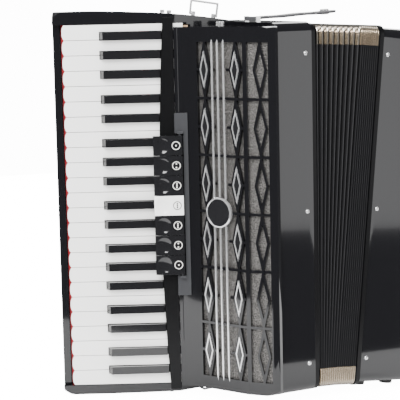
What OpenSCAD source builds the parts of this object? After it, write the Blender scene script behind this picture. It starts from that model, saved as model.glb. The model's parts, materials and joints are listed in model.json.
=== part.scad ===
// Piano accordion, 41 treble keys and 120 bass buttons, bellows slightly fanned at the top.
// Millimetres. X runs from the keyboard to the bass side, Y from the front to the player, Z up.
// The origin is on the front seam between the grille cover and the treble casing, level with
// the lower end of the keyboard.

/* [Casings] */
// Depth of the body, front to player
body_d = 210; // [180:1:250]
// Underside of the casings above the end of the keyboard
casing_z = 6; // [4:1:10]
// Height of the casings
casing_h = 488; // [480:1:560]
// Width of the treble casing
treble_w = 52; // [44:1:70]
// Width of the bass casing
bass_w = 108; // [96:1:140]
// Wall thickness of the casings
wall = 7; // [5:0.5:8]
// Radius of the casings' long edges
edge_r = 14; // [8:1:20]

/* [Keyboard] */
// Spacing of the white keys
key_pitch = 20.1; // [16.8:0.1:20.1]
// Visible length of a white key
white_len = 133.6; // [120:0.1:150]
// Length of a black key in front of the cover
black_len = 84; // [70:1:88]
// Width of a black key
black_w = 10.2; // [8:0.1:11]
// Gap between neighbouring keys
key_gap = 0.7; // [0.4:0.1:1.2]
// Thickness of a key
key_t = 9; // [8:0.5:10]
// Height of the black keys above the white ones
black_rise = 8; // [6:0.5:8]
// Width of the border at each end of the keyboard
border = 17; // [13:0.5:22]
// Radius of the keyboard axle
axle_r = 1.5; // [1.2:0.1:2]
// Radial running clearance of axles and pins
run_fit = 0.05; // [0.02:0.01:0.1]
// Slope of the keyboard, tips towards the player
key_slope = 27.3; // [24:0.1:30]

/* [Registers] */
// Number of treble register tabs
tab_count = 7; // [5:1:9]
// Spacing of the register tabs
tab_pitch = 26.5; // [20:0.5:27]
// Length of a register tab
tab_len = 39; // [32:1:40]
// Thickness of a register tab
tab_t = 7; // [6:0.5:8]

/* [Grille] */
// Height of one row of the grille pattern
row_h = 74.6; // [60:0.1:76]
// Rows of the grille pattern
rows = 6; // [4:1:6]
// Thickness of the grille cover
cover_t = 3; // [2:0.5:4]
// Width of the bars between the rows
bar_w = 3.4; // [2:0.2:5]
// Radius of the badge
badge_r = 20; // [14:0.5:22]

/* [Bellows] */
// Folds of the half beside the keyboard
folds_a = 9; // [6:1:10]
// Folds of the half beside the bass
folds_b = 8; // [6:1:10]
// Thickness of one closed fold
fold_t = 3.2; // [2.8:0.1:4]
// Angle by which the first half stands fanned open at the top
fan_deg = 5.4; // [3:0.1:7]
// Depth of the folds
fold_d = 26; // [20:1:32]
// Thickness of a bellows frame
frame_t = 6; // [5:0.5:8]

/* [Bass] */
// Columns of bass buttons
bass_cols = 20; // [12:1:20]
// Spacing of the columns
col_pitch = 16.2; // [15:0.1:16.5]
// Spacing of the rows
row_pitch = 12.5; // [11.5:0.1:13]
// Radius of a bass button
button_r = 4.2; // [3.5:0.1:4.6]
// Height of a bass button above the board
button_rise = 6; // [5:0.5:8]
// Width of the hand strap
strap_w = 62; // [50:1:70]
// Height of the hand strap's arch
strap_rise = 30; // [24:1:36]
// Radius of the strap wheel
wheel_r = 15; // [12:0.5:17]

/* [Hidden] */
$fn = 48;

// colours
black = [0.03, 0.03, 0.035];
ivory = [0.93, 0.92, 0.9];
silver = [0.8, 0.8, 0.82];
walnut = [0.45, 0.3, 0.18];

// small gaps: between parts that only touch, and between parts that move
seat = 0.3;
play = 0.4;

// ---- casings
casing_top = casing_z + casing_h;

// ---- keyboard: a frame of its own, x out to the tips, y out of the key tops
white_count = 24;
keys_h = white_count * key_pitch;
keys_z = border - 4.1;
keys_top = keys_z + keys_h;
board_h = keys_top + border;
ki = [-100.9, 119.4];
ks = sin(key_slope);
kc = cos(key_slope);
function kp(x, y) = [ki[0] - x * kc - y * ks, ki[1] + x * ks - y * kc];
rail_gap = 2.9;
rail_w = 9.5;
rail_x = white_len + rail_gap;
frame_x = rail_x + rail_w;
rail_y = -8;
cheek_y = 1;
bed_y = -20;
key_play = 0.4;
axle_x = -18;
axle_y = -8;
key_back = -25;
ledge_t = 3;
ledge_bulge = 8;
ledge_end = 2;
mid_z = keys_z + keys_h / 2;
function ledge_edge(z) = ledge_end + ledge_bulge * (1 - pow((z - mid_z) / (keys_h / 2), 2));

// height of the end of the wooden body at x, falling towards the casing
crown_x = -190;
function body_top(x) = x < crown_x ? board_h
    : board_h - (board_h - casing_top - 1) * pow((x - crown_x) / crown_x, 2);
function body_bottom(x) = x < crown_x ? 0 : casing_z * pow((x - crown_x) / crown_x, 2);

// white and black keys, counted from the top end
LETTERS = ["f", "g", "a", "b", "c", "d", "e"];
SHIFT = [4.8, 0, -5.4, undef, 2.3, -3.2, undef];
function edge_z(i) = keys_top - i * key_pitch;
function has_black(i) = i >= 0 && i < white_count - 1 && !is_undef(SHIFT[i % 7]);
function black_z(i) = edge_z(i + 1) + SHIFT[i % 7];
notch = black_w / 2 + key_gap;
function rear_hi(i) = has_black(i - 1) ? black_z(i - 1) - notch : edge_z(i) - key_gap / 2;
function rear_lo(i) = has_black(i) ? black_z(i) + notch : edge_z(i + 1) + key_gap / 2;

// ---- pallets and levers
pallet_t = 6;
pallet_w = 8;
pallet_y0 = 46;
pallet_y1 = 86;
lever_w = 3;
lever_t = 4;
lever_room = casing_top - 6 - keys_z + key_play;
crowd_z = keys_top - 55;
crowd = 0.17;
// height of a pallet: the end ones are drawn down under the top of the cover
function pallet_z(z) = z > crowd_z ? z - (z - crowd_z) * crowd : z;
board_t = 6;

// ---- grille cover: plan of its outer face, from the key cover round to the seam
cover_z0 = casing_z + 3;
cover_z1 = casing_top - 4;
g0 = [-70.6, 91.7];
g1 = [-38.6, 21.7];
flank = norm(g1 - g0);
u1 = (g1 - g0) / flank;
brow = 36;
u2 = [0.64, -0.768];
g2 = g1 + brow * u2;
foot = kp(-12.5, 3);
cover_back = body_d / 2 + 2.5;
cover_line = [foot, g0, g1, g2, [-8, -9.5], [-2.5, -6.5], [-seat, -1]];
cover_inner = [foot + [4, 1], g0 + [4, 1.6], g1 + [3.3, 2.1], g2 + [2.2, 3.4],
               [-7, -6], [-3.5, -3.5], [-seat - cover_t, 1], [2, 1]];
grille_z1 = cover_z1 - 18;
grille_z0 = grille_z1 - rows * row_h;
col_a = 15;
col_b = 64.5;
col_c = 22.8;
strip_s = [28, 37, 46.5];
strip_w = 3.2;
inlay_w = 12.8;
inlay_h = 50;
cell_w = 19;
screw_x = -41;
screw_y = 75;
badge_s = 36.5;
badge_z = grille_z1 - rows / 2 * row_h;

// ---- registers
tab_x1 = 18;
tab_x0 = tab_x1 - tab_len;
tab_y0 = 9;
tab_pin_x = tab_x0 + 3.5;
tab_pin_y = tab_y0 + 3.4;
tab_pin_r = 1.2;
tab_gap = 0.6;
tabs_top = mid_z + 2 + tab_count * tab_pitch / 2;
tabs_bottom = tabs_top - tab_count * tab_pitch;
bracket_ext = 29;
rail_plate_t = 1.2;

// ---- bellows, drawn closed and upright, then leaned out by the fan
bell_z0 = casing_z + 2;
bell_z1 = casing_top - 3.5;
bell_y0 = 2;
bell_y1 = body_d - 2;
bell_x0 = treble_w + frame_t;
half_a = folds_a * fold_t;
mid_x = bell_x0 + half_a;
bass_bell_x = mid_x + fold_t;
half_b = folds_b * fold_t;
frame_b = bass_bell_x + half_b;
bass_x = frame_b + frame_t;
out_x = bass_x + bass_w;
fan_x = bell_x0 + half_a / 2;
fan_z = bell_z0;
tongue = 14;
pin_r = 1.6;
pin_head = 3.3;
pin_z = [casing_z + 39, casing_z + casing_h / 2 - 2, casing_top - 40];

// ---- bass side
bass_z0 = casing_z + 3.5;
bass_z1 = casing_top - 5;
bass_y0 = 3;
bass_y1 = body_d - 3;
bass_wall = 6;
bass_round = 34;
bass_mid = (bass_z0 + bass_z1) / 2;
panel_y0 = 20;
panel_y1 = 112;
panel_h = 360;
panel_t = 3;
panel_sink = 2;
first_row_y = 30;
row_lean = 8;
stem_r = 1.6;
stem_len = 22;
strap_y = body_d - 26 - strap_w / 2;
strap_t = 4;
strap_span = 340;
strap_arc = (pow(strap_span / 2, 2) + pow(strap_rise, 2)) / (2 * strap_rise);
wheel_t = 8;
wheel_z = bass_mid + strap_span / 2 + 24;
wheel_x = out_x - wheel_r + 4;
screw_r = 3;
air_y = 106;
air_z = bass_mid + 192;
air_r = 7;
foot_r = 9;
foot_t = 7;
bulkhead_x = bass_x + 46;
bulkhead_t = 6;
tab_step = 12.5;
bass_tab_x = bass_x + 54;

// ---- strap fittings
wire_r = 1.5;
bail_w = 40;
bail_h = 17;
bail_x = -55.8;
bail_y = 130;
bail_fold = 92;
boss_h = 3.2;
boss_in = 4.7;
knob_x = -92;
strap_at_x = 4;
strap_at_y = 56;
strap_pin_z = 4.6;
bellows_strap_w = 26;
bellows_strap_l = 128;
bellows_strap_t = 3.2;
strap_lift = 2.6;
stud_x = 112;

// ================= helpers
// stands a drawing made in the keyboard's own frame in its place
module on_keys() {
    translate([ki[0], ki[1], 0]) rotate(180 - key_slope) children();
}

// leans the bass side out by the angle of the open folds
module fanned() {
    translate([fan_x, 0, fan_z]) rotate([0, fan_deg, 0]) translate([-fan_x, 0, -fan_z])
        children();
}

// rectangle with round corners
module round_rect(w, h, r) {
    translate([r, 0]) square([w - 2 * r, h]);
    translate([0, r]) square([w, h - 2 * r]);
    for (x = [r, w - r], y = [r, h - r]) translate([x, y]) circle(r);
}

// bar along X whose section in Y and Z is a rounded rectangle
module x_bar(x0, x1, y0, y1, z0, z1, r) {
    translate([x0, y0, z0]) rotate([90, 0, 90]) linear_extrude(x1 - x0)
        round_rect(y1 - y0, z1 - z0, r);
}

// ring along X with walls of one thickness
module x_ring(x0, x1, y0, y1, z0, z1, r, t) {
    difference() {
        x_bar(x0, x1, y0, y1, z0, z1, r);
        x_bar(x0 - 1, x1 + 1, y0 + t, y1 - t, z0 + t, z1 - t, max(r - t, 1.5));
    }
}

// drawing in X and Z, pushed towards -Y
module slab(t) {
    rotate([90, 0, 0]) linear_extrude(t) children();
}

// straight bar in plan between two points
module plan_bar(a, b, w) {
    d = b - a;
    translate(a) rotate(atan2(d[1], d[0])) translate([0, -w / 2]) square([norm(d), w]);
}

// stands a drawing on the wide face of the cover: x along the face, y up, z outwards
module on_flank() {
    multmatrix([[u1[0], 0, u1[1], g0[0]], [u1[1], 0, -u1[0], g0[1]], [0, 1, 0, 0],
                [0, 0, 0, 1]])
        children();
}

// the same for the narrow face beside the seam
module on_brow() {
    multmatrix([[u2[0], 0, u2[1], g1[0]], [u2[1], 0, -u2[0], g1[1]], [0, 1, 0, 0],
                [0, 0, 0, 1]])
        children();
}

module rhombus(w, h) {
    polygon([[-w / 2, 0], [0, -h / 2], [w / 2, 0], [0, h / 2]]);
}

// ================= treble side
module treble_casing() {
    color(black) difference() {
        x_ring(0, treble_w, 0, body_d, casing_z, casing_top, edge_r, wall);
        for (z = pin_z) pin_holes(treble_w - 9.5, z, 0, body_d);
    }
}

// one hole through the front and the back wall for the bellows pins
module pin_holes(x, z, y0, y1) {
    translate([x, y0 - 1, z]) rotate([-90, 0, 0]) cylinder(r = pin_r + run_fit, h = 30);
    translate([x, y1 + 1, z]) rotate([90, 0, 0]) cylinder(r = pin_r + run_fit, h = 30);
}

module pallet_board() {
    gap = wall + seat;
    color(walnut) difference() {
        x_bar(0, board_t, gap, body_d - gap, casing_z + gap, casing_top - gap, edge_r - wall);
        for (i = [0 : white_count - 1]) pallet_hole((rear_hi(i) + rear_lo(i)) / 2);
        for (i = [0 : white_count - 2]) if (has_black(i)) pallet_hole(black_z(i));
    }
}

module pallet_hole(z) {
    translate([-1, pallet_y0 + 5, pallet_z(z) - 2.5]) cube([board_t + 2, pallet_y1 - pallet_y0 - 10, 5]);
}

module keyboard_frame() {
    steps = 12;
    r = 14;
    left = kp(frame_x, cheek_y)[0];
    tail = kp(frame_x, bed_y - 1);
    cut = kp(-10, bed_y);
    low = kp(90, bed_y - 8);
    in_y = body_d - 7;
    color(black) difference() {
        intersection() {
            linear_extrude(board_h + 1) polygon([
                kp(frame_x, cheek_y), tail, [tail[0] + 4, body_d], [-seat, body_d],
                [-seat, cover_back + seat], kp(-13, 0), kp(-12, cheek_y)]);
            translate([0, body_d, 0]) slab(body_d) polygon(concat(
                [for (a = [180 : 10 : 270]) [left + r + r * cos(a), r + r * sin(a)]],
                [for (i = [0 : steps]) let(x = crown_x * (1 - i / steps)) [x, body_bottom(x)]],
                [for (i = [0 : steps]) let(x = crown_x * i / steps) [x, body_top(x)]],
                [for (a = [90 : 10 : 180])
                    [left + r + r * cos(a), board_h - r + r * sin(a)]]));
        }
        // well that the keys lie in
        on_keys() translate([-14, bed_y, keys_z - key_play])
            cube([rail_x + 14, 40, keys_h + 2 * key_play]);
        on_keys() translate([-30, bed_y, keys_z - key_play])
            cube([17, 1 - bed_y, keys_h + 2 * key_play]);
        on_keys() translate([rail_x - 1, rail_y, keys_z - key_play])
            cube([rail_w + 2, 40, keys_h + 2 * key_play]);
        // space for the levers, open to the front
        translate([0, 0, keys_z - key_play]) linear_extrude(lever_room)
            polygon([kp(-10, 20), cut, [cut[0], in_y], [-7, in_y], [-7, cover_back - 10]]);
        // step in its roof for the lever of the end key
        translate([kp(-23, 0)[0] - 2, cover_back - 1, keys_top - 10]) cube([17, 16, 7.4]);
        // hollow behind the key bed
        translate([0, 0, 24]) linear_extrude(keys_h - 24)
            polygon([[cut[0] - 6, kp(0, bed_y - 8)[1] + 4], [cut[0] - 6, in_y],
                     [low[0], in_y], low]);
        on_keys() translate([axle_x, axle_y, 4])
            cylinder(r = axle_r + run_fit, h = board_h - 8);
    }
}

module key_felt() {
    color("darkred") on_keys() {
        translate([white_len - 14, bed_y + seat, keys_z])
            cube([16.4, 5, keys_h]);
        translate([20, bed_y + seat, keys_z]) cube([12, 3, keys_h]);
    }
}

module key_axle() {
    color(silver) on_keys() translate([axle_x, axle_y, 5])
        cylinder(r = axle_r, h = board_h - 10 - 8);
}

// one leaf spring under the tail of each key
module key_springs() {
    color(silver) on_keys() {
        for (i = [0 : white_count - 1]) key_spring((rear_hi(i) + rear_lo(i)) / 2);
        for (i = [0 : white_count - 2]) if (has_black(i)) key_spring(black_z(i));
    }
}

module key_spring(z) {
    y = axle_y - 5.6;
    translate([2, 0, z - 1]) slab_z(2) polygon([[0, bed_y + 0.1], [12, bed_y + 0.1],
        [12, bed_y + 0.7], [2, bed_y + 0.7], [-3, y + 1.2], [-3.6, y + 0.6]]);
}

// drawing in X and Y pushed up
module slab_z(t) {
    linear_extrude(t) children();
}

module key_cover() {
    n = 16;
    z0 = keys_z - 8;
    z1 = keys_top + 8;
    color(black) on_keys() translate([0, cheek_y + ledge_t, 0]) slab(ledge_t)
        polygon(concat(
            [for (i = [0 : n]) let(z = z0 + (z1 - z0) * i / n) [ledge_edge(z), z]],
            [[-12.2, z1], [-12.2, z0]]));
}

// keys of one note, each with its lever and pallet
module white_keys(letter) {
    color(ivory) for (i = [0 : white_count - 1])
        if (LETTERS[i % 7] == letter) white_key(i);
}

module black_keys(letter) {
    color(black) for (i = [0 : white_count - 2])
        if (has_black(i) && LETTERS[i % 7] == letter) black_key(i);
}

module white_key(i) {
    lo = edge_z(i + 1) + key_gap / 2;
    hi = edge_z(i) - key_gap / 2;
    rlo = rear_lo(i);
    rhi = rear_hi(i);
    step_x = black_len + 1;
    tip = 2.6;
    key_lever((rlo + rhi) / 2, i == 0 ? 0.085 : 0.65);
    on_keys() difference() {
        union() {
            slab(key_t) polygon(concat(
                [for (j = [-6 : 6]) let(f = j / 6)
                    [white_len - tip * f * f * abs(f), (lo + hi) / 2 + f * (hi - lo) / 2]],
                [[step_x, hi], [step_x, rhi], [key_back, rhi], [key_back, rlo],
                 [step_x, rlo], [step_x, lo]]));
            key_tail(rlo, rhi);
        }
        axle_hole();
    }
}

module black_key(i) {
    z0 = black_z(i) - black_w / 2;
    x0 = ledge_edge(black_z(i)) + 0.8;
    key_lever(black_z(i), i == 0 ? 0.052 : 0.35);
    on_keys() difference() {
        union() {
            translate([key_back, -key_t, z0]) cube([black_len - key_back, key_t, black_w]);
            translate([0, 0, z0]) slab_z(black_w) polygon([[x0, -1], [black_len, -1],
                [black_len, 1.5], [black_len - 4, black_rise], [x0, black_rise - 1.8]]);
            key_tail(z0, z0 + black_w);
        }
        axle_hole();
    }
}

module key_tail(z0, z1) {
    translate([key_back, axle_y - 5, z0]) cube([18, 10, z1 - z0]);
}

module axle_hole() {
    translate([axle_x, axle_y, -1]) cylinder(r = axle_r + run_fit, h = board_h + 2);
}

// arm from a key's tail to its pallet, stepped sideways at the share "jog" of its length;
// the end pair step at once, to pass under the top of the cover
module key_lever(z, jog) {
    a = kp(-23, axle_y + 1);
    b = [-pallet_t + 2, (pallet_y0 + pallet_y1) / 2 - 2];
    m = a + (b - a) * jog;
    u = (b - a) / norm(b - a);
    zp = pallet_z(z);
    translate([0, 0, z - lever_w / 2]) linear_extrude(lever_w) plan_bar(a, m, lever_t);
    translate([0, 0, zp - lever_w / 2]) linear_extrude(lever_w) plan_bar(m, b, lever_t);
    translate([0, 0, min(z, zp) - lever_w / 2]) linear_extrude(abs(z - zp) + lever_w)
        plan_bar(m - 1.2 * u, m + 1.2 * u, lever_t);
    translate([-pallet_t - seat, pallet_y0, zp - pallet_w / 2])
        cube([pallet_t, pallet_y1 - pallet_y0, pallet_w]);
}

module register_rail() {
    x0 = tab_x0 - 7.5;
    x1 = -11;
    y = tab_y0 - rail_plate_t;
    color([0.45, 0.46, 0.48]) on_keys() difference() {
        union() {
            translate([x0, y, tabs_bottom - bracket_ext])
                cube([6.2, rail_plate_t, tabs_top - tabs_bottom + 2 * bracket_ext]);
            for (z = [tabs_top + 2, tabs_bottom - bracket_ext])
                translate([x0, y, z]) cube([x1 - x0, rail_plate_t, bracket_ext - 2]);
            for (z = [tabs_top + 2, tabs_bottom - 5])
                translate([tab_x0 - 1, y, z]) cube([7.5, tab_t + rail_plate_t - 1, 3]);
            for (z = [tabs_top + 12, mid_z, tabs_bottom - 20])
                translate([x0 + 1, y - 0.35, z]) cube([3, 1, 8]);
            translate([tab_pin_x, tab_pin_y, tabs_bottom - 5])
                cylinder(r = tab_pin_r, h = tabs_top - tabs_bottom + 10);
        }
    }
}

// one register tab: a rocker with a hollow for the finger and a round disc at the pivot end
module register_tab(n) {
    z1 = tabs_top - (n - 1) * tab_pitch - tab_gap / 2;
    w = tab_pitch - tab_gap;
    tone = n == (tab_count + 1) / 2 ? ivory : black;
    color(tone) on_keys() translate([0, 0, z1 - w]) difference() {
        slab_z(w) polygon([[tab_x0, tab_y0 + 0.4], [tab_x0 + 8, tab_y0 - 0.3],
            [tab_x1 - 5, tab_y0], [tab_x1, tab_y0 + 3], [tab_x1 - 0.5, tab_y0 + 6],
            [tab_x1 - 4, tab_y0 + tab_t], [tab_x1 - 22, tab_y0 + tab_t],
            [tab_x0, tab_y0 + tab_t - 1]]);
        translate([tab_pin_x, tab_pin_y, -1]) cylinder(r = tab_pin_r + run_fit, h = w + 2);
        translate([tab_x1 - 12, tab_y0 + tab_t + 26, w / 2]) rotate([0, 0, 0]) sphere(28);
    }
}

// window pattern of the wide face for one row, middle of the row at y = 0
module flank_window() {
    h = row_h - bar_w;
    difference() {
        translate([3, -h / 2]) square([flank - 3.8, h]);
        for (s = [col_a, col_b]) {
            translate([s, 0]) rhombus(cell_w, row_h + 8);
            translate([s - cell_w / 2 - 5, -bar_w / 2]) square([cell_w + 10, bar_w]);
        }
    }
}

// window pattern of the narrow face for one row
module brow_window() {
    h = row_h - bar_w;
    difference() {
        translate([5, -h / 2]) square([brow - 7, h]);
        difference() {
            translate([col_c, 0]) rhombus(cell_w, row_h + 8);
            translate([col_c, 0]) rhombus(cell_w - 6, inlay_h);
        }
    }
}

module grille_cover() {
    height = cover_z1 - cover_z0;
    color(black) difference() {
        intersection() {
            translate([0, 0, cover_z0]) linear_extrude(height)
                polygon(concat(cover_line, [[-seat, cover_back], [foot[0] + 3, cover_back]]));
            x_bar(-130, 10, -11, body_d, cover_z0, cover_z1, edge_r);
        }
        translate([0, 0, cover_z0 + cover_t]) linear_extrude(height - 2 * cover_t)
            polygon(concat(cover_inner, [[2, cover_back + 5], [foot[0] + 5, cover_back + 5]]));
        translate([screw_x, screw_y, cover_z1 - 5]) cylinder(r = 2 + run_fit, h = 10);
        for (r = [0 : rows - 1]) {
            z = grille_z1 - (r + 0.5) * row_h;
            on_flank() translate([0, z, -8]) linear_extrude(20) flank_window();
            on_brow() translate([0, z, -6]) linear_extrude(12) brow_window();
        }
    }
}

// cloth sheet behind the windows
module grille_mesh() {
    t = 0.8;
    a = g0 + [5.4, 1.2];
    b = g1 + [4.4, 3.2];
    c = g2 + [1.2, 4.9];
    color([0.55, 0.53, 0.53]) translate([0, 0, grille_z0 - 6])
        linear_extrude(rows * row_h + 12)
            polygon([a, b, c, c + [0.6, 0.6], b + [t, 0.6], a + [t, 0.4]]);
}

module grille_trim() {
    z1 = grille_z1 + 2;
    z0 = grille_z0 + 2;
    color(silver) on_flank() {
        for (s = strip_s) strip_pieces(s, z0, z1);
        for (r = [0 : rows - 1], s = [col_a, col_b])
            translate([s, grille_z1 - (r + 0.5) * row_h, 0])
                linear_extrude(1.6) rhombus(inlay_w, inlay_h);
    }
}

// a chrome strip, cut where it meets the badge
module strip_pieces(s, z0, z1) {
    difference() {
        linear_extrude(2.4) polygon([[s - strip_w / 2, z0 + 5], [s, z0 - 4],
            [s + strip_w / 2, z0 + 5], [s + strip_w / 2, z1 - 4], [s, z1],
            [s - strip_w / 2, z1 - 4]]);
        translate([badge_s, badge_z, -1]) cylinder(r = badge_r + seat, h = 6);
    }
}

module grille_badge() {
    color(silver) on_flank() translate([badge_s, badge_z, 0]) {
        difference() {
            cylinder(r = badge_r, h = 5);
            translate([0, 0, 3.4]) cylinder(r = badge_r - 2.2, h = 3);
        }
    }
}

// knurled screw that holds the cover at the top
module grille_screw() {
    color(silver) translate([screw_x, screw_y, cover_z1]) {
        cylinder(r = 5.5, h = 6, $fn = 40);
        translate([0, 0, -16]) cylinder(r = 2, h = 17);
    }
}

module treble_reed_blocks() {
    color(walnut) difference() {
        translate([board_t + 0.2, pallet_y0 + 6, casing_z + 16])
            cube([36, pallet_y1 - pallet_y0 - 12, casing_h - 32]);
        for (i = [0 : white_count - 2]) if (!has_black(i))
            translate([board_t + 8, pallet_y0, pallet_z(edge_z(i + 1)) - 2]) cube([40, 60, 4]);
    }
}

module treble_reed_plates() {
    color("silver") for (i = [0 : white_count - 1]) {
        reed_plates((rear_hi(i) + rear_lo(i)) / 2);
        if (has_black(i)) reed_plates(black_z(i));
    }
}

module reed_plates(z) {
    for (y = [pallet_y0 + 5, pallet_y1 - 6])
        translate([board_t + 3, y, pallet_z(z) - 3.8]) cube([28, 1, 7.6]);
}

// stands a drawing on the line through the two pivots of an upper or lower bail
module at_bail(up) {
    x1 = bail_x + bail_w;
    z0 = up ? body_top(bail_x) : body_bottom(bail_x);
    z1 = up ? body_top(x1) : body_bottom(x1);
    translate([bail_x, bail_y, z0 + (up ? boss_h : -boss_h)])
        rotate([0, atan((z0 - z1) / bail_w), 0]) children();
}

// bosses that carry the bails, and plain stubs beside them
module strap_brackets() {
    color(silver) {
        at_bail(true) bosses(1);
        at_bail(false) bosses(-1);
        for (x = [knob_x - 5, knob_x + 5]) {
            translate([x, bail_y, body_top(x - 3) + 0.1]) cylinder(r = 3, h = 4);
            translate([x, bail_y, body_bottom(x - 3) - 3.1]) cylinder(r = 3, h = 3);
        }
        // staple that the bellows strap turns on
        for (y = [strap_at_y - 3.4, strap_at_y + bellows_strap_w + 0.4])
            translate([strap_at_x - 3, y, casing_top + 0.1]) cube([6, 3, strap_pin_z + 3]);
        translate([strap_at_x, strap_at_y - 2, casing_top + strap_pin_z])
            rotate([-90, 0, 0]) cylinder(r = pin_r, h = bellows_strap_w + 4);
    }
}

module bosses(up) {
    for (x = [boss_in, bail_w - boss_in]) difference() {
        translate([x, 0, up > 0 ? 0.3 - boss_h : -3]) cylinder(r = 2.8, h = boss_h + 2.7);
        translate([x - 5, 0, 0]) rotate([0, 90, 0]) cylinder(r = wire_r + run_fit, h = 10);
    }
}

// wire bail drawn standing up from its pivots
module bail() {
    for (x = [0, bail_w - boss_in - 2.6]) translate([x, 0, 0]) rotate([0, 90, 0])
        cylinder(r = wire_r, h = boss_in + 2.6);
    for (x = [0, bail_w]) translate([x, 0, 0]) {
        sphere(wire_r);
        cylinder(r = wire_r, h = bail_h);
        translate([0, 0, bail_h]) sphere(wire_r);
    }
    translate([0, 0, bail_h]) rotate([0, 90, 0]) cylinder(r = wire_r, h = bail_w);
}

module strap_bail_top() {
    color(silver) at_bail(true) bail();
}

// stored folded forward under the body
module strap_bail_bottom() {
    color(silver) at_bail(false) rotate([bail_fold, 0, 0]) bail();
}

module bellows_frame_treble() {
    y0 = wall + seat;
    color(black) difference() {
        union() {
            x_ring(treble_w, bell_x0, bell_y0 - 1.4, bell_y1 + 1.4, bell_z0 - 1.4,
                   bell_z1 + 1.4, edge_r - 2, 13);
            x_ring(treble_w - tongue, treble_w + 1, y0, body_d - y0, casing_z + y0,
                   casing_top - y0, edge_r - wall, 8);
        }
        for (z = pin_z) pin_holes(treble_w - 9.5, z, 0, body_d);
    }
}

// headed pins through the casing into the bellows frame, front and back
module bellows_pins_treble() {
    color(silver) for (z = pin_z) {
        translate([treble_w - 9.5, 0, z]) rotate([-90, 0, 0]) pin();
        translate([treble_w - 9.5, body_d, z]) rotate([90, 0, 0]) pin();
    }
}

module pin() {
    cylinder(r = pin_r, h = 14);
    rotate_extrude() intersection() {
        translate([0, 0.9]) circle(pin_head);
        translate([0, -4]) square([pin_head, 4]);
    }
}

// stands a drawing at the hinge of the bellows strap, x along the strap
module at_strap() {
    translate([strap_at_x, strap_at_y, casing_top + strap_pin_z]) rotate([0, -strap_lift, 0])
        children();
}

// leather strap over the closed bellows, here unfastened and standing off by its stiffness
module bellows_strap() {
    half = bellows_strap_t / 2;
    color([0.12, 0.12, 0.12]) at_strap() difference() {
        union() {
            rotate([-90, 0, 0]) cylinder(r = 4.2, h = bellows_strap_w);
            translate([0, 0, -half]) cube([bellows_strap_l, bellows_strap_w, bellows_strap_t]);
        }
        translate([0, -1, 0]) rotate([-90, 0, 0])
            cylinder(r = pin_r + run_fit, h = bellows_strap_w + 2);
        translate([stud_x, bellows_strap_w / 2, -5]) cylinder(r = pin_r + run_fit, h = 10);
    }
}

// press stud through the end of the bellows strap
module snap_stud() {
    half = bellows_strap_t / 2;
    color(silver) at_strap() translate([stud_x, bellows_strap_w / 2, 0]) {
        translate([0, 0, -half - 1.5]) cylinder(r = 6, h = 1.5);
        translate([0, 0, -half - 1]) cylinder(r = pin_r, h = bellows_strap_t + 2);
        translate([0, 0, half]) cylinder(r = 6, h = 2.6);
    }
}

// ================= bellows
module bellows_section(x0, x1) {
    x_ring(x0, x1, bell_y0, bell_y1, bell_z0, bell_z1, edge_r - 4, fold_d);
}

// first half: one ring cut off along the plane that the fan leans to
module bellows_folds_treble() {
    color([0.1, 0.1, 0.1]) intersection() {
        bellows_section(bell_x0, bell_x0 + 140);
        fanned() translate([mid_x - 300, -10, -100]) cube([300, body_d + 20, 700]);
    }
}

module bellows_mid_fold() {
    color([0.1, 0.1, 0.1]) fanned() bellows_section(mid_x, bass_bell_x);
}

module bellows_folds_bass() {
    color([0.1, 0.1, 0.1]) fanned() bellows_section(bass_bell_x, frame_b);
}

// ================= bass side
module bellows_frame_bass() {
    y0 = bass_y0 + bass_wall + seat;
    z0 = bass_z0 + bass_wall + seat;
    color(black) fanned() difference() {
        union() {
            x_ring(frame_b, bass_x, bell_y0 - 1.4, bell_y1 + 1.4, bell_z0 - 1.4,
                   bell_z1 + 1.4, edge_r - 2, 13);
            x_ring(bass_x - 1, bass_x + tongue, y0, body_d - y0, z0,
                   bass_z1 - bass_wall - seat, edge_r - bass_wall / 2, 8);
        }
        for (z = pin_z) pin_holes(bass_x + 9.5, z, 0, body_d);
    }
}

module bellows_pins_bass() {
    color(silver) fanned() for (z = pin_z) {
        translate([bass_x + 9.5, bass_y0, z]) rotate([-90, 0, 0]) pin();
        translate([bass_x + 9.5, bass_y1, z]) rotate([90, 0, 0]) pin();
    }
}

// outer form of the bass casing, shrunk by t on every side but the open one
module bass_form(t) {
    r = bass_round - t;
    h = bass_z1 - bass_z0 - 2 * t;
    d = bass_y1 - bass_y0 - 2 * t;
    w = bass_w - t;
    intersection() {
        x_bar(bass_x - 1, out_x - t, bass_y0 + t, bass_y1 - t, bass_z0 + t, bass_z1 - t,
              edge_r - t / 2);
        translate([bass_x - 40, bass_y1 - t, bass_z0 + t]) slab(d)
            round_rect(w + 40, h, r);
        translate([bass_x - 40, bass_y0 + t, bass_z0])
            linear_extrude(bass_z1 - bass_z0) round_rect(w + 40, d, r * 0.6);
    }
}

module bass_casing() {
    color(black) fanned() difference() {
        intersection() {
            bass_form(0);
            translate([bass_x, -10, -10]) cube([bass_w + 10, body_d + 20, 560]);
        }
        difference() {
            bass_form(bass_wall);
            translate([bulkhead_x, -10, 0]) cube([bulkhead_t, body_d + 20, 520]);
        }
        translate([out_x - 12, panel_y0, bass_mid - panel_h / 2])
            cube([20, panel_y1 - panel_y0, panel_h]);
        translate([out_x - 12, air_y, air_z])
            rotate([0, 90, 0]) cylinder(r = air_r + 0.1, h = 20);
        translate([wheel_x - wheel_r - 1, strap_y - wheel_r - 1, wheel_z - 0.6])
            cube([2 * wheel_r + 8, 2 * wheel_r + 2, wheel_t + 1.2]);
        for (i = [0 : 2]) bass_tab_slot(i);
        for (z = pin_z) pin_holes(bass_x + 9.5, z, 0, body_d);
    }
}

module bass_tab_slot(i) {
    translate([bass_tab_x + tab_step * i - play, bass_y0 - 5, bass_mid - 12])
        cube([10 + 2 * play, 20, 24]);
}

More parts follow.
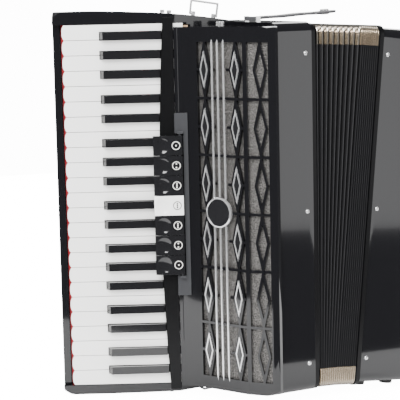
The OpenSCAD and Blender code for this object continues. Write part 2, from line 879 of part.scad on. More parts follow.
function button_z(row, col) = bass_mid + (col - (bass_cols - 1) / 2) * col_pitch
    + (row - 2.5) * row_lean * 0.9;

module bass_button_board() {
    color([0.08, 0.08, 0.09]) fanned() difference() {
        translate([out_x - panel_sink - panel_t, panel_y0 + seat,
                   bass_mid - panel_h / 2 + seat])
            cube([panel_t, panel_y1 - panel_y0 - 2 * seat, panel_h - 2 * seat]);
        for (row = [0 : 5], col = [0 : bass_cols - 1])
            translate([out_x - 12, first_row_y + row * row_pitch, button_z(row, col)])
                rotate([0, 90, 0]) cylinder(r = button_r + 0.1, h = 20);
    }
}

// a row of bass buttons on their stems
module bass_row(row) {
    face = out_x - panel_sink - panel_t;
    color(ivory) fanned() for (col = [0 : bass_cols - 1])
        translate([face, first_row_y + row * row_pitch, button_z(row, col)])
            rotate([0, 90, 0]) {
                translate([0, 0, -2]) cylinder(r = button_r, h = panel_t + 2 + button_rise);
                translate([0, 0, -stem_len]) cylinder(r = stem_r, h = stem_len);
            }
}

module bass_registers() {
    color(ivory) fanned() for (i = [0 : 2])
        translate([bass_tab_x + tab_step * i, bass_y0 - 3, bass_mid - 12 + play])
            cube([10, 12, 24 - 2 * play]);
}

// leather hand strap, an arch along the outer face
module bass_strap() {
    c = out_x + strap_rise - strap_arc;
    color([0.12, 0.12, 0.12]) fanned() {
        intersection() {
            translate([c, strap_y + strap_w / 2, bass_mid]) rotate([90, 0, 0]) difference() {
                cylinder(r = strap_arc + strap_t, h = strap_w, $fn = 96);
                translate([0, 0, -1]) cylinder(r = strap_arc, h = strap_w + 2, $fn = 96);
            }
            translate([out_x + 0.3, strap_y - strap_w / 2 - 1, bass_mid - strap_span])
                cube([80, strap_w + 2, 2 * strap_span]);
        }
        for (s = [-1, 1])
            translate([out_x + 0.3, strap_y - strap_w / 2,
                       bass_mid + s * (strap_span / 2 + 3) - 8])
                cube([5, strap_w, 16]);
    }
}

// knurled wheel that tightens the hand strap, on its screw
module strap_wheel() {
    color(silver) fanned() translate([wheel_x, strap_y, wheel_z]) {
        cylinder(r = wheel_r, h = wheel_t, $fn = 60);
        translate([0, 0, -24]) cylinder(r = screw_r, h = 40);
    }
}

module air_button() {
    color(silver) fanned() translate([out_x, air_y, air_z])
        rotate([0, 90, 0]) {
            translate([0, 0, -16]) cylinder(r = air_r, h = 21);
        }
}

module bass_feet() {
    color([0.1, 0.1, 0.1]) fanned() for (x = [bass_x + 20, out_x - 42], y = [34, body_d - 34])
        translate([x, y, bass_z0 - foot_t]) cylinder(r = foot_r, h = foot_t);
}

// reed blocks standing on the bulkhead, on the bellows side
module bass_reed_blocks() {
    color(walnut) fanned() for (y = [60, 110, 150])
        translate([bulkhead_x - 34.1, y, bass_z0 + 40]) cube([34, 22, 380]);
}

treble_casing();
pallet_board();
keyboard_frame();
key_felt();
key_axle();
key_springs();
key_cover();
register_rail();
grille_cover();
grille_mesh();
grille_trim();
grille_badge();
grille_screw();
treble_reed_blocks();
treble_reed_plates();
strap_brackets();
bellows_frame_treble();
bellows_pins_treble();
white_keys("f");  // key_f
black_keys("f");  // key_f_sharp
white_keys("g");  // key_g
black_keys("g");  // key_g_sharp
white_keys("a");  // key_a
black_keys("a");  // key_a_sharp
white_keys("b");  // key_b
white_keys("c");  // key_c
black_keys("c");  // key_c_sharp
white_keys("d");  // key_d
black_keys("d");  // key_d_sharp
white_keys("e");  // key_e
register_tab(1);  // register_1
register_tab(2);  // register_2
register_tab(3);  // register_3
register_tab(4);  // register_4
register_tab(5);  // register_5
register_tab(6);  // register_6
register_tab(7);  // register_7
strap_bail_top();
strap_bail_bottom();
bellows_strap();
bellows_folds_treble();
bellows_mid_fold();
bellows_folds_bass();
bellows_frame_bass();
bellows_pins_bass();
bass_casing();
bass_button_board();
bass_row(0);  // bass_row_1
bass_row(1);  // bass_row_2
bass_row(2);  // bass_row_3
bass_row(3);  // bass_row_4
bass_row(4);  // bass_row_5
bass_row(5);  // bass_row_6
bass_registers();
bass_strap();
strap_wheel();
air_button();
bass_feet();
bass_reed_blocks();
snap_stud();
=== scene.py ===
import bpy, bmesh, json, math
from mathutils import Matrix, Vector


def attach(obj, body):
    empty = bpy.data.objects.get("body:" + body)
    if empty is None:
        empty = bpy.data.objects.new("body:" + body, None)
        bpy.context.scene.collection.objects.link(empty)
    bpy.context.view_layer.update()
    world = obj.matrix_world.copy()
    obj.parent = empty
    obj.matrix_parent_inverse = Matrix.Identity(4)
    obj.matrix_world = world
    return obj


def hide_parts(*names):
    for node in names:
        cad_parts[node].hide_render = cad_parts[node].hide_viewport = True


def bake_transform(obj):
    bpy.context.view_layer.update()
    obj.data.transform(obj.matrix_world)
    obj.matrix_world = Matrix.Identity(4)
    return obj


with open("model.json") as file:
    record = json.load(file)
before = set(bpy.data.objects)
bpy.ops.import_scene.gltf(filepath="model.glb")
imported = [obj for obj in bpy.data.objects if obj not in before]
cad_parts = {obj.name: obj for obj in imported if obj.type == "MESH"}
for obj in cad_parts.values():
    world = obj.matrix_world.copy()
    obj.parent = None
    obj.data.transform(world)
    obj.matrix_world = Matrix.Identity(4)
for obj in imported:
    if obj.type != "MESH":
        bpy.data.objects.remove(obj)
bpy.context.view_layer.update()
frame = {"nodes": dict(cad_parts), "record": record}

MM = 0.001

# ---- Studio: a pale floor that touches the keyboard's lower end and the bass feet, soft lights
# all round, and a camera in front of the keyboard side.
def link(piece):
    bpy.context.scene.collection.objects.link(piece)
    return piece

def finish(name, colour, rough, metal=0.0, coat=0.0, grain=60.0, depth=0.05, vary=0.08,
           sheen=0.0, kind="noise", stretch=(1, 1, 1)):
    material = bpy.data.materials.new(name)
    material.use_nodes = True
    nodes, links = material.node_tree.nodes, material.node_tree.links
    surface = nodes["Principled BSDF"]
    where = nodes.new("ShaderNodeTexCoord")
    scaled = nodes.new("ShaderNodeMapping")
    scaled.inputs["Scale"].default_value = stretch
    links.new(where.outputs["Object"], scaled.inputs["Vector"])
    if kind == "cells":
        grains = nodes.new("ShaderNodeTexVoronoi")
        mottle = grains.outputs["Distance"]
    else:
        grains = nodes.new("ShaderNodeTexNoise")
        grains.inputs["Detail"].default_value = 4.0
        mottle = grains.outputs["Fac"] if "Fac" in grains.outputs else grains.outputs[0]
    grains.inputs["Scale"].default_value = grain
    links.new(scaled.outputs["Vector"], grains.inputs["Vector"])
    shades = nodes.new("ShaderNodeValToRGB")
    darker = [c * (1 - vary) for c in colour]
    lighter = [min(1.0, c * (1 + vary)) for c in colour]
    shades.color_ramp.elements[0].color = (*darker, 1)
    shades.color_ramp.elements[1].color = (*lighter, 1)
    links.new(mottle, shades.inputs["Fac"])
    links.new(shades.outputs["Color"], surface.inputs["Base Color"])
    worn = nodes.new("ShaderNodeMapRange")
    worn.inputs["To Min"].default_value = max(0.02, rough * 0.85)
    worn.inputs["To Max"].default_value = min(1.0, rough * 1.15)
    links.new(mottle, worn.inputs["Value"])
    links.new(worn.outputs["Result"], surface.inputs["Roughness"])
    relief = nodes.new("ShaderNodeBump")
    relief.inputs["Strength"].default_value = depth
    relief.inputs["Distance"].default_value = 0.0006
    links.new(mottle, relief.inputs["Height"])
    links.new(relief.outputs["Normal"], surface.inputs["Normal"])
    surface.inputs["Metallic"].default_value = metal
    surface.inputs["Coat Weight"].default_value = coat
    surface.inputs["Coat Roughness"].default_value = 0.03
    surface.inputs["Sheen Weight"].default_value = sheen
    return material

def mesh_piece(name, verts, faces, finishes, tones=None, smooth=30, weld=False):
    shape = bpy.data.meshes.new(name)
    shape.from_pydata([(x * MM, y * MM, z * MM) for x, y, z in verts], [], faces)
    for material in finishes:
        shape.materials.append(material)
    if tones:
        shape.polygons.foreach_set("material_index", tones)
    skin = bmesh.new()
    skin.from_mesh(shape)
    if weld:
        bmesh.ops.remove_doubles(skin, verts=skin.verts, dist=1e-6)
    bmesh.ops.recalc_face_normals(skin, faces=skin.faces)
    skin.to_mesh(shape)
    skin.free()
    shape.update()
    for face in shape.polygons:
        face.use_smooth = True
    shape.set_sharp_from_angle(angle=math.radians(smooth))
    return link(bpy.data.objects.new(name, shape))

foot_drop, stance = 9.2, 412.5
floor_glow = 14.0
pale_floor = finish("pale_floor", (0.90, 0.90, 0.90), 0.7, grain=2, depth=0, vary=0.01)
floor_nodes, floor_links = pale_floor.node_tree.nodes, pale_floor.node_tree.links
floor_surface = floor_nodes["Principled BSDF"]
floor_surface.inputs["Emission Color"].default_value = (1, 1, 1, 1)
straight = floor_nodes.new("ShaderNodeLightPath")
glow = floor_nodes.new("ShaderNodeMath")
glow.operation = "MULTIPLY"
glow.inputs[1].default_value = floor_glow
floor_links.new(straight.outputs["Is Camera Ray"], glow.inputs[0])
floor_links.new(glow.outputs["Value"], floor_surface.inputs["Emission Strength"])
floor_corners = [(-420, -300, 0), (800, -300, 0), (2600, 2600, 0), (-420, 2600, 0)]
floor = mesh_piece("floor", floor_corners, [(0, 1, 2, 3)], [pale_floor])
floor.location = (-0.217, 0.1, -0.0006)
floor.rotation_euler = (0, math.atan(foot_drop / stance), 0)

camera = link(bpy.data.objects.new("camera", bpy.data.cameras.new("camera")))
turn, tilt, roll = math.radians(28), math.radians(7.91), math.radians(-1.28)
look = Vector((math.sin(turn) * math.cos(tilt), math.cos(turn) * math.cos(tilt), -math.sin(tilt)))
level_side = Vector((math.cos(turn), -math.sin(turn), 0))
level_up = level_side.cross(look)
side = level_side * math.cos(roll) + level_up * math.sin(roll)
up = level_up * math.cos(roll) - level_side * math.sin(roll)
stand = Matrix.Translation((-1.0526, -1.7613, 0.5535))
camera.matrix_world = stand @ Matrix((side, up, -look)).transposed().to_4x4()
camera.data.sensor_width = 36
camera.data.lens = 144.2
bpy.context.scene.camera = camera

def soft_light(name, at, to, width, height, power):
    lamp = bpy.data.lights.new(name, "AREA")
    lamp.shape = "RECTANGLE"
    lamp.size, lamp.size_y, lamp.energy = width, height, power
    light = link(bpy.data.objects.new(name, lamp))
    light.location = at
    light.rotation_euler = (Vector(to) - Vector(at)).to_track_quat("-Z", "Y").to_euler()
    return light

lights = [soft_light("key_light", (-1.9, -1.6, 2.2), (0, 0, 0.3), 1.6, 1.6, 150),
          soft_light("front_fill", (1.08, -1.95, 0.52), (0.03, 0, 0.52), 0.9, 1.3, 8),
          soft_light("rear_light", (1.4, 1.8, 1.8), (0, 0, 0.3), 1.4, 1.4, 34)]
room_light, mirrored_light, backdrop_light = 2.4, 0.16, 14.0
world = bpy.data.worlds.new("studio")
bpy.context.scene.world = world
world.use_nodes = True
room_nodes, room_links = world.node_tree.nodes, world.node_tree.links
sky = room_nodes["Background"]
sky.inputs["Color"].default_value = (1, 1, 1, 1)
ray = room_nodes.new("ShaderNodeLightPath")
dim = room_nodes.new("ShaderNodeMix")
dim.inputs["A"].default_value = room_light
dim.inputs["B"].default_value = mirrored_light
room_links.new(ray.outputs["Is Glossy Ray"], dim.inputs["Factor"])
seen = room_nodes.new("ShaderNodeMix")
seen.inputs["B"].default_value = backdrop_light
room_links.new(ray.outputs["Is Camera Ray"], seen.inputs["Factor"])
room_links.new(dim.outputs["Result"], seen.inputs["A"])
room_links.new(seen.outputs["Result"], sky.inputs["Strength"])

# ---- Keyboard body: a wooden box wrapped in polished black celluloid, glued and pressed on,
# with its long edges rounded over.
lacquer = finish("black_lacquer", (0.004, 0.004, 0.005), 0.07, coat=0.3, grain=25, depth=0.01)
body_of = {}
for body, held in frame["record"]["behaviour"]["bodies"].items():
    for node in held:
        body_of[node] = body

def dressed(node, material, bevel=0.8, second=None, choose=None):
    shape = frame["nodes"][node].data.copy()
    skin = bmesh.new()
    skin.from_mesh(shape)
    bmesh.ops.remove_doubles(skin, verts=skin.verts, dist=2e-6)
    bmesh.ops.dissolve_limit(skin, angle_limit=math.radians(0.5), verts=skin.verts,
                             edges=skin.edges)
    skin.to_mesh(shape)
    skin.free()
    shape.materials.clear()
    shape.materials.append(material)
    if second:
        shape.materials.append(second)
    for face in shape.polygons:
        face.use_smooth = True
        face.material_index = 1 if second and choose(face.center / MM) else 0
    shape.set_sharp_from_angle(angle=math.radians(28))
    piece = link(bpy.data.objects.new(node + "_piece", shape))
    if bevel:
        edge = piece.modifiers.new("edge", "BEVEL")
        edge.width = bevel * MM
        edge.segments = 3
        edge.limit_method = "ANGLE"
        edge.angle_limit = math.radians(32)
        edge.harden_normals = True
    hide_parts(node)
    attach(piece, body_of[node])
    return piece

dressed("keyboard_frame", lacquer, 1.2)

# ---- Key cover: a thin matt strip screwed over the tails of the keys, its edge bowed out in
# the middle.
satin_black = finish("satin_black", (0.003, 0.003, 0.0035), 0.34, grain=120, depth=0.05)
satin_black.node_tree.nodes["Principled BSDF"].inputs["Specular IOR Level"].default_value = 0.2
dressed("key_cover", satin_black, 0.6)

# ---- White and black keys: moulded key tops on wooden levers, hung side by side on one steel
# axle. All keys of one note name are one node and turn together.
white_top = finish("white_top", (0.90, 0.895, 0.88), 0.16, coat=0.5, grain=18, depth=0.01,
                   vary=0.015)
black_top = finish("black_top", (0.006, 0.006, 0.007), 0.12, coat=0.4, grain=22, depth=0.01)
lever_wood = finish("lever_wood", (0.42, 0.27, 0.15), 0.5, grain=30, vary=0.25, depth=0.1,
                    stretch=(1, 1, 12))
keys_corner = (-100.9, 119.4)
keys_sin, keys_cos = math.sin(math.radians(27.3)), math.cos(math.radians(27.3))
lever_start = -27

def on_keyboard(across, out):
    return (keys_corner[0] - across * keys_cos - out * keys_sin,
            keys_corner[1] + across * keys_sin - out * keys_cos)

def is_lever(spot):
    across = (spot.y - keys_corner[1]) * keys_sin - (spot.x - keys_corner[0]) * keys_cos
    return across < lever_start

for note in ("f", "f_sharp", "g", "g_sharp", "a", "a_sharp", "b", "c", "c_sharp", "d", "d_sharp",
             "e"):
    if note.endswith("sharp"):
        dressed("key_" + note, black_top, 0.9, lever_wood, is_lever)
    else:
        dressed("key_" + note, white_top, 0.7, lever_wood, is_lever)

# ---- Key felt, axle and springs: red felt strips glued on the bed under the tips and the middle
# of the keys, a ground steel rod through every lever, and a leaf spring under each tail.
red_felt = finish("red_felt", (0.42, 0.012, 0.022), 0.95, grain=900, depth=0.5, vary=0.3,
                  sheen=0.5)
spring_steel = finish("spring_steel", (0.55, 0.56, 0.58), 0.28, metal=1.0, grain=200, depth=0.02)
dressed("key_felt", red_felt, 0.8)
dressed("key_axle", spring_steel, 0.2)
dressed("key_springs", spring_steel, 0)

# ---- Register rail: a flat metal strip in grey enamel beside the tabs, with a bracket at each
# end and the rod that the tabs turn on.
grey_enamel = finish("grey_enamel", (0.045, 0.046, 0.05), 0.34, metal=0.3, grain=90, depth=0.03)
dressed("register_rail", grey_enamel, 0.2)

# ---- Register tabs: seven moulded rockers on the rod, hollowed for the finger, the middle one
# white. Each carries a round sign inlaid beside the hollow, a ring with one to three dots.
tab_black = finish("tab_black", (0.007, 0.007, 0.008), 0.12, coat=0.4, grain=30, depth=0.02)
sign_white = finish("sign_white", (0.75, 0.74, 0.70), 0.35, grain=80, depth=0.02)
tab_count, tab_pitch, tabs_mid = 7, 26.5, 256.1
sign_across, sign_out, tab_slope = -12.5, 15.75, 0.06
ring_sides, dot_sides, dot_round = 32, 12, 1.0

def tube(rows, around):
    return [(j * around + k, j * around + (k + 1) % around,
             (j + 1) * around + (k + 1) % around, (j + 1) * around + k)
            for j in range(rows) for k in range(around)]

def register_sign(number, mid, dots, finishes):
    verts = []
    for around, out in ((5.6, 0.2), (4.7, 0.2), (4.65, -0.05), (0.01, 0.2)):
        for k in range(ring_sides):
            a = 2 * math.pi * k / ring_sides
            x, y = on_keyboard(sign_across + around * math.cos(a),
                               sign_out + out + 0.98 * tab_slope * around * math.cos(a))
            verts.append((x, y, mid + around * math.sin(a)))
    faces = tube(3, ring_sides)
    tones = [0] * ring_sides + [1] * (2 * ring_sides)
    for lift in dots:
        base = len(verts)
        for k in range(dot_sides):
            a = 2 * math.pi * k / dot_sides
            x, y = on_keyboard(sign_across + dot_round * math.cos(a),
                               sign_out + 0.42 + tab_slope * math.cos(a))
            verts.append((x, y, mid + lift + dot_round * math.sin(a)))
        faces.append(tuple(range(base, base + dot_sides)))
        tones.append(0)
    return mesh_piece(f"register_sign_{number}", verts, faces, finishes, tones)

one_dot, two_dots, three_dots = (0,), (-2.4, 2.4), (-2.4, 0, 2.4)
sign_dots = [one_dot, two_dots, three_dots, three_dots, three_dots, two_dots, one_dot]
for n in range(1, tab_count + 1):
    is_middle = n == 4
    tab = f"register_{n}"
    dressed(tab, white_top if is_middle else tab_black, 0.8)
    sign = register_sign(n, tabs_mid + (tab_count / 2 - n + 0.5) * tab_pitch, sign_dots[n - 1],
                         [tab_black, white_top] if is_middle else [sign_white, tab_black])
    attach(sign, tab)

# ---- Grille cover: a thin black cover with rows of windows cut through it, screwed over the
# front of the treble casing. It slopes back to the keyboard and bends round to the front.
dressed("grille_cover", lacquer, 0.5)
grille_back, grille_bend = (-70.6, 91.7), (-38.6, 21.7)
flank_width, front_width = math.dist(grille_back, grille_bend), 36
along_flank = ((grille_bend[0] - grille_back[0]) / flank_width,
               (grille_bend[1] - grille_back[1]) / flank_width)
grille_front = (grille_bend[0] + front_width * 0.64, grille_bend[1] - front_width * 0.768)
rows, row_height, grille_top = 6, 74.6, 472.0
grille_low = grille_top - rows * row_height

def on_flank(along, z, out):
    return (grille_back[0] + along_flank[0] * along + along_flank[1] * out,
            grille_back[1] + along_flank[1] * along - along_flank[0] * out, z)

# ---- Grille cloth: glitter cloth glued behind the windows, which sags a little between the
# webs.
glitter_cloth = finish("glitter_cloth", (0.12, 0.115, 0.11), 0.3, metal=0.6, grain=560,
                       depth=1.0, vary=0.9, kind="cells")
cloth_back = (grille_back[0] + 5.2, grille_back[1] + 1.0)
cloth_bend = (grille_bend[0] + 4.3, grille_bend[1] + 3.0)
cloth_front = (grille_front[0] + 1.3, grille_front[1] + 4.8)
cloth_margin, cloth_sag, cloth_steps, face_steps = 5, 0.35, 120, 12

def patch(rows, columns, base=0):
    starts = [base + j * columns + k for j in range(rows) for k in range(columns - 1)]
    return [(i, i + 1, i + columns + 1, i + columns) for i in starts]

verts = []
for j in range(cloth_steps + 1):
    z = grille_low - cloth_margin + (grille_top - grille_low + 2 * cloth_margin) * j / cloth_steps
    in_row = (z - grille_low) / row_height % 1.0
    for k in range(2 * face_steps + 1):
        near, far = (cloth_back, cloth_bend) if k <= face_steps else (cloth_bend, cloth_front)
        share = (k if k <= face_steps else k - face_steps) / face_steps
        sag = cloth_sag * math.sin(math.pi * share) * math.sin(math.pi * in_row)
        verts.append((near[0] + (far[0] - near[0]) * share + sag,
                      near[1] + (far[1] - near[1]) * share + sag * 0.5, z))
cloth = mesh_piece("grille_cloth", verts, patch(cloth_steps, 2 * face_steps + 1), [glitter_cloth])
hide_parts("grille_mesh")
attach(cloth, "treble")

# ---- Chrome strips and diamonds: three half-round strips that run up the slope and stop at the
# badge, and two columns of faceted diamonds with black centres, all pinned through the cover.
chrome = finish("chrome", (0.94, 0.94, 0.95), 0.22, metal=0.85, grain=40, depth=0.01, vary=0.03)
dark_inlay = finish("dark_inlay", (0.008, 0.008, 0.009), 0.12, coat=0.5, grain=50, depth=0.02)
badge_along, badge_z, badge_clear = 36.5, 248.2, 20.4
strip_half, strip_high, strip_edge, strip_over = 1.5, 2.0, 0.05, 2
verts, faces, tones = [], [], []

def chrome_strip(along, low, high, low_half, low_run, high_run, high_half):
    base = len(verts)
    for z, half, lift in ((low, low_half, 0.3), (low + low_run, strip_half, strip_high),
                          (high - high_run, strip_half, strip_high), (high, high_half, 0.3)):
        for across, out in ((-1, strip_edge), (-0.8, 0.7 * lift), (-0.3, lift), (0.3, lift),
                            (0.8, 0.7 * lift), (1, strip_edge)):
            verts.append(on_flank(along + across * half, z, out))
    faces.extend(patch(3, 6, base))
    tones.extend([0] * 15)

for along in (28, 37, 46.5):
    reach = math.sqrt(badge_clear ** 2 - (along - badge_along) ** 2)
    chrome_strip(along, grille_low - strip_over, badge_z - reach, strip_edge, 9, 0.1, strip_half)
    chrome_strip(along, badge_z + reach, grille_top + strip_over, strip_half, 0.1, 4, strip_edge)
for row in range(rows):
    mid = grille_top - (row + 0.5) * row_height
    for along in (15, 64.5):
        base = len(verts)
        for half, high, out in ((6.4, 25, 0.05), (6.1, 24, 1.6), (4.6, 18.5, 1.5),
                                (4.3, 17.5, 0.8)):
            for across, lift in ((-half, 0), (0, -high), (half, 0), (0, high)):
                verts.append(on_flank(along + across, mid + lift, out))
        verts.append(on_flank(along, mid, 1.7))
        faces += [tuple(base + i for i in face) for face in tube(3, 4)]
        tones += [0] * 12
        faces += [(base + 12 + k, base + 12 + (k + 1) % 4, base + 16) for k in range(4)]
        tones += [1] * 4
trim = mesh_piece("grille_chrome", verts, faces, [chrome, dark_inlay], tones, smooth=24)
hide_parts("grille_trim")
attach(trim, "treble")

# ---- Badge and cover screw: a turned chrome ring with a plain dark disc set in it, fixed over
# the middle strips, and the round-headed screw that holds the cover.
badge_sides, chrome_steps = 64, 5
badge_profile = [(20, 0.1), (20, 3.6), (19.2, 4.8), (18.4, 5.0), (17.9, 4.4), (17.8, 3.5),
                 (15, 3.55), (0.01, 3.6)]
verts = []
for around, out in badge_profile:
    for k in range(badge_sides):
        a = 2 * math.pi * k / badge_sides
        verts.append(on_flank(badge_along + around * math.cos(a),
                              badge_z + around * math.sin(a), out))
disc_steps = len(badge_profile) - 1 - chrome_steps
badge = mesh_piece("badge", verts, tube(len(badge_profile) - 1, badge_sides),
                   [chrome, dark_inlay],
                   [0] * (chrome_steps * badge_sides) + [1] * (disc_steps * badge_sides))
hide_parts("grille_badge")
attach(badge, "treble")
dressed("grille_screw", chrome, 0.5)

# ---- Treble casing: a wooden box under black celluloid, open to the bellows, with the pallet
# board, reed blocks and reed plates waxed inside it.
dressed("treble_casing", lacquer, 0.8)
oiled_wood = finish("oiled_wood", (0.45, 0.29, 0.16), 0.5, grain=22, vary=0.3, depth=0.15,
                    stretch=(1, 1, 10))
reed_alloy = finish("reed_alloy", (0.72, 0.72, 0.73), 0.35, metal=1.0, grain=150, depth=0.05)
dressed("pallet_board", oiled_wood, 0)
dressed("treble_reed_blocks", oiled_wood, 0.5)
dressed("treble_reed_plates", reed_alloy, 0)

# ---- Strap fittings: turned bosses screwed into the body and wire bails bent from chromed
# steel, one above and one below, that the shoulder straps hook into.
dressed("strap_brackets", chrome, 0.4)
dressed("strap_bail_top", chrome, 0)
dressed("strap_bail_bottom", chrome, 0)

# ---- Bellows strap: one thick grained leather strap with stitched edges, looped round a
# chrome staple, with a press stud near its free end.
grained_leather = finish("grained_leather", (0.05, 0.05, 0.054), 0.5, grain=420, depth=0.7,
                         vary=0.25, kind="cells", sheen=0.1)
thread = finish("thread", (0.14, 0.14, 0.14), 0.8, grain=600, depth=0.3)
strap_lean, strap_half, strap_round = math.radians(2.6), 13.0, 14.2
tip_start, loop_end, loop_swell, wave = 114, 3.2, 1.6, 0.25

def strap_at(x, y, z):
    return (4 + x * math.cos(strap_lean) - z * math.sin(strap_lean), 56 + y,
            498.6 + x * math.sin(strap_lean) + z * math.cos(strap_lean))

def stitch(base):
    return [(base, base + 1, base + 4), (base + 1, base + 2, base + 5, base + 4),
            (base + 2, base + 3, base + 5), (base + 3, base, base + 4, base + 5)]

verts = []
strap_rim = [(-1.5, 1.0), (-0.8, 1.55), (0.8, 1.55), (1.5, 1.0),
             (1.5, -1.0), (0.8, -1.55), (-0.8, -1.55), (-1.5, -1.0)]
strap_steps = [-3.9 + k * 3.0 for k in range(40)] + [118, 121, 123.5, 125.5, 127, 127.8]
for x in strap_steps:
    half = strap_half
    if x >= tip_start:
        past = (x - tip_start) / strap_round
        half = max(0.6, strap_half * math.sqrt(max(0.0, 1 - past ** 2)))
    swell = loop_swell if x < loop_end else 1.0
    for across, lift in strap_rim:
        y = strap_half + math.copysign(half - (1.5 - abs(across)) * min(1, half / 3), across)
        verts.append(strap_at(x, y, lift * swell + wave * math.sin(x / 9.0)))
around, last = len(strap_rim), len(strap_steps) - 1
faces = tube(last, around)
faces += [tuple(range(around)), tuple(range(last * around, last * around + around))]
tones = [0] * len(faces)
for y in (2.6, 23.4):
    for k in range(26):
        x = 8 + k * 4.0
        base = len(verts)
        leather_top = 1.5 + wave * math.sin(x / 9.0)
        for along, across, lift in ((0, -0.3, 0), (0, 0.3, 0), (2.6, 0.3, 0), (2.6, -0.3, 0),
                                    (0.5, 0, 0.35), (2.1, 0, 0.35)):
            verts.append(strap_at(x + along, y + across, leather_top + lift))
        faces += stitch(base)
        tones += [1] * 4
strap = mesh_piece("bellows_strap_leather", verts, faces, [grained_leather, thread], tones,
                   smooth=50)
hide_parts("bellows_strap")
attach(strap, "bellows_strap")
dressed("snap_stud", chrome, 0.6)

# ---- Bellows frames: black wooden frames that the folds are glued to, each held in its
# casing by headed chrome pins through the walls.
dressed("bellows_frame_treble", satin_black, 0.6)
dressed("bellows_frame_bass", satin_black, 0.6)
dressed("bellows_pins_treble", chrome, 0.2)
dressed("bellows_pins_bass", chrome, 0.2)

# ---- Bellows: pleated card covered in black leathercloth, taped along each outer edge, with
# bent metal corner pieces crimped over every fold. The tape is coloured lighter than the
# leathercloth, a painted highlight along the fold ridges.
leathercloth = finish("leathercloth", (0.008, 0.008, 0.009), 0.5, grain=1400, depth=0.2,
                      vary=0.2, kind="cells")
# Real edge tape, coloured greyer than the leathercloth as a painted highlight on the fold ridges.
tape_and_painted_highlight = finish("tape_and_painted_highlight", (0.02, 0.02, 0.022), 0.4, grain=300, depth=0.2)
corner_metal = finish("champagne_metal", (0.72, 0.67, 0.60), 0.22, metal=1.0, grain=90,
                      depth=0.03)
bellows_front, bellows_back, bellows_low, bellows_high = 2.0, 208.0, 8.0, 490.5
bellows_round, pleat_depth = 10.0, 11.0
fan_angle, fan_x, fan_z = math.radians(5.4), 72.4, 8.0
fold_start, fan_end, mid_end, bass_end = 58.0, 86.8, 90.0, 115.6
fan_folds, bass_folds = 9, 8

def leaned(x, y, z):
    across, above = x - fan_x, z - fan_z
    return (fan_x + across * math.cos(fan_angle) + above * math.sin(fan_angle), y,
            fan_z - across * math.sin(fan_angle) + above * math.cos(fan_angle))

def rim_point(mid_y, mid_z, angle, run):
    ny, nz = math.cos(angle), math.sin(angle)
    return (mid_y + bellows_round * ny - run * nz, mid_z + bellows_round * nz + run * ny, ny, nz)

back_mid, front_mid = bellows_back - bellows_round, bellows_front + bellows_round
high_mid, low_mid = bellows_high - bellows_round, bellows_low + bellows_round
bellows_rim = []
for mid_y, mid_z, turned in ((back_mid, high_mid, 0), (front_mid, high_mid, 90),
                             (front_mid, low_mid, 180), (back_mid, low_mid, 270)):
    start = math.radians(turned)
    end = start + math.pi / 2
    bellows_rim += [rim_point(mid_y, mid_z, start, -run) for run in (16, 8)]
    bellows_rim += [rim_point(mid_y, mid_z, start + math.pi / 2 * k / 8, 0) for k in range(9)]
    bellows_rim += [rim_point(mid_y, mid_z, end, run) for run in (8, 16)]
corner_points = len(bellows_rim) // 4

def folds(name, count, place):
    verts = []
    around = len(bellows_rim)
    creases = [((k + share) / count, inset) for k in range(count)
               for share, inset in ((0.0, pleat_depth), (0.40, 0.9), (0.46, 0.2), (0.54, 0.2),
                                    (0.60, 0.9))]
    creases.append((1.0, pleat_depth))
    for share, inset in creases:
        for y, z, ny, nz in bellows_rim:
            verts.append(place(share, y - ny * inset, z - nz * inset))
    faces = tube(len(creases) - 1, around)
    # Tone 1 marks the outer ridge strip of each fold: the tape, coloured lighter as a painted
    # highlight.
    tones = [1 if j % 5 in (1, 2, 3) else 0 for j in range(len(creases) - 1)
             for _ in range(around)]
    for fold in range(count):
        for near, far, near_inset, far_inset in ((0.16, 0.40, 6.6, 0.2), (0.40, 0.5, 0.2, -0.35),
                                                 (0.5, 0.60, -0.35, 0.2), (0.60, 0.84, 0.2, 6.6)):
            for k in range(around):
                if k % corner_points == corner_points - 1:
                    continue
                base = len(verts)
                for share, inset in ((near, near_inset), (far, far_inset)):
                    for y, z, ny, nz in (bellows_rim[k], bellows_rim[k + 1]):
                        verts.append(place((fold + share) / count, y - ny * inset,
                                           z - nz * inset))
                faces.append((base, base + 1, base + 3, base + 2))
                tones.append(2)
    return mesh_piece(name, verts, faces, [leathercloth, tape_and_painted_highlight, corner_metal], tones,
                      weld=True)

def fanned(fold):
    def place(share, y, z):
        spread = (fold + share) / fan_folds
        end = leaned(fan_end, y, z)
        return (fold_start + (end[0] - fold_start) * spread, y, z + (end[2] - z) * spread)
    return place

spread_top = leaned(fan_end, 0, bellows_high)[0] - fold_start
for k in range(fan_folds):
    place = fanned(k)
    fold = folds(f"bellows_fold_{k + 1}", 1, place)
    middle = (k + 0.5) / fan_folds
    along = Vector((math.cos(fan_angle * middle), 0, -math.sin(fan_angle * middle)))
    top = Vector(place(0.5, 105, bellows_high))
    if k == 0:
        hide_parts("bellows_folds_treble")
    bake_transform(fold)
fold = folds("bellows_middle_fold", 1,
             lambda share, y, z: leaned(fan_end + (mid_end - fan_end) * share, y, z))
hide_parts("bellows_mid_fold")
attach(fold, "bellows_mid")
fold = folds("bellows_bass_folds", bass_folds,
             lambda share, y, z: leaned(mid_end + (bass_end - mid_end) * share, y, z))
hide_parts("bellows_folds_bass")
Vector(leaned(mid_end, 105, 250)) * MM
Vector(leaned(bass_end, 105, 250)) * MM
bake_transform(fold)

# ---- Bass casing: black celluloid over wood with a rounded outer end, reed blocks standing on
# a bulkhead inside, rubber feet below.
dressed("bass_casing", lacquer, 0.8)
dressed("bass_reed_blocks", oiled_wood, 0.5)
foot_rubber = finish("foot_rubber", (0.03, 0.03, 0.03), 0.7, grain=200, depth=0.2)
dressed("bass_feet", foot_rubber, 1.2)

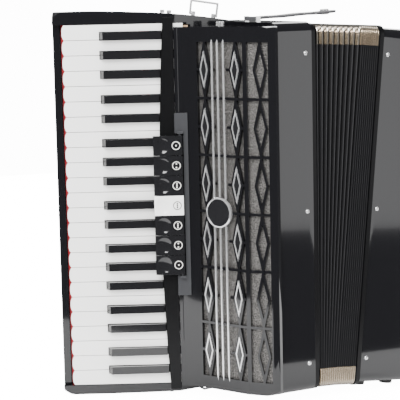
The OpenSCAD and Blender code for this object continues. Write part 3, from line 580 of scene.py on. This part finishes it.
# ---- Bass buttons: a black board drilled for the stems, pale moulded buttons in rows, three
# pale switches on the front and a chrome air button.
button_pale = finish("button_pale", (0.80, 0.79, 0.75), 0.2, coat=0.3, grain=60, depth=0.01,
                     vary=0.03)
board_black = finish("board_black", (0.02, 0.02, 0.022), 0.35, grain=150, depth=0.08)
dressed("bass_button_board", board_black, 0)
for n in range(1, 7):
    dressed(f"bass_row_{n}", button_pale, 0.9)
dressed("bass_registers", button_pale, 0.9)
dressed("air_button", chrome, 0.9)

# ---- Hand strap: a wide leather strap arched over the outer face with a row of stitches along
# each edge, pulled tight by a knurled chrome wheel on a screw.
strap_face, strap_mid, strap_y, strap_rise, strap_span = 229.6, 249.25, 153.0, 30.0, 340.0
arc = ((strap_span / 2) ** 2 + strap_rise ** 2) / (2 * strap_rise)
arc_centre = strap_face + strap_rise - arc
edge_angle = math.asin(strap_span / 2 / (arc + 2)) * 0.992
hand_rim = [(-31, 0.7), (-31, 3.3), (-30.2, 4.0), (-27, 4.25), (27, 4.25),
            (30.2, 4.0), (31, 3.3), (31, 0.7), (30.2, 0.05), (-30.2, 0.05)]
arc_steps, stitch_count, stitch_top = 64, 84, 4.2

def on_arc(angle, across, lift):
    return leaned(arc_centre + (arc + lift) * math.cos(angle), strap_y + across,
                  strap_mid + (arc + lift) * math.sin(angle))

verts = []
for j in range(arc_steps + 1):
    angle = -edge_angle + 2 * edge_angle * j / arc_steps
    verts += [on_arc(angle, across, lift) for across, lift in hand_rim]
around = len(hand_rim)
faces = tube(arc_steps, around)
faces += [tuple(range(around)), tuple(range(arc_steps * around, arc_steps * around + around))]
tones = [0] * len(faces)
for row_at in (-27.5, 27.5):
    for j in range(stitch_count):
        near = edge_angle * 0.97 * (2 * j / stitch_count - 1)
        far = near + edge_angle / stitch_count * 1.3
        base = len(verts)
        for angle, across, lift in ((near, -0.35, 0), (near, 0.35, 0), (far, 0.35, 0),
                                    (far, -0.35, 0), (near * 0.75 + far * 0.25, 0, 0.45),
                                    (near * 0.25 + far * 0.75, 0, 0.45)):
            verts.append(on_arc(angle, row_at + across, stitch_top + lift))
        faces += stitch(base)
        tones += [1] * 4
strap = mesh_piece("hand_strap_leather", verts, faces, [grained_leather, thread], tones, smooth=50)
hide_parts("bass_strap")
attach(strap, "bass")
dressed("strap_wheel", chrome, 0.6)
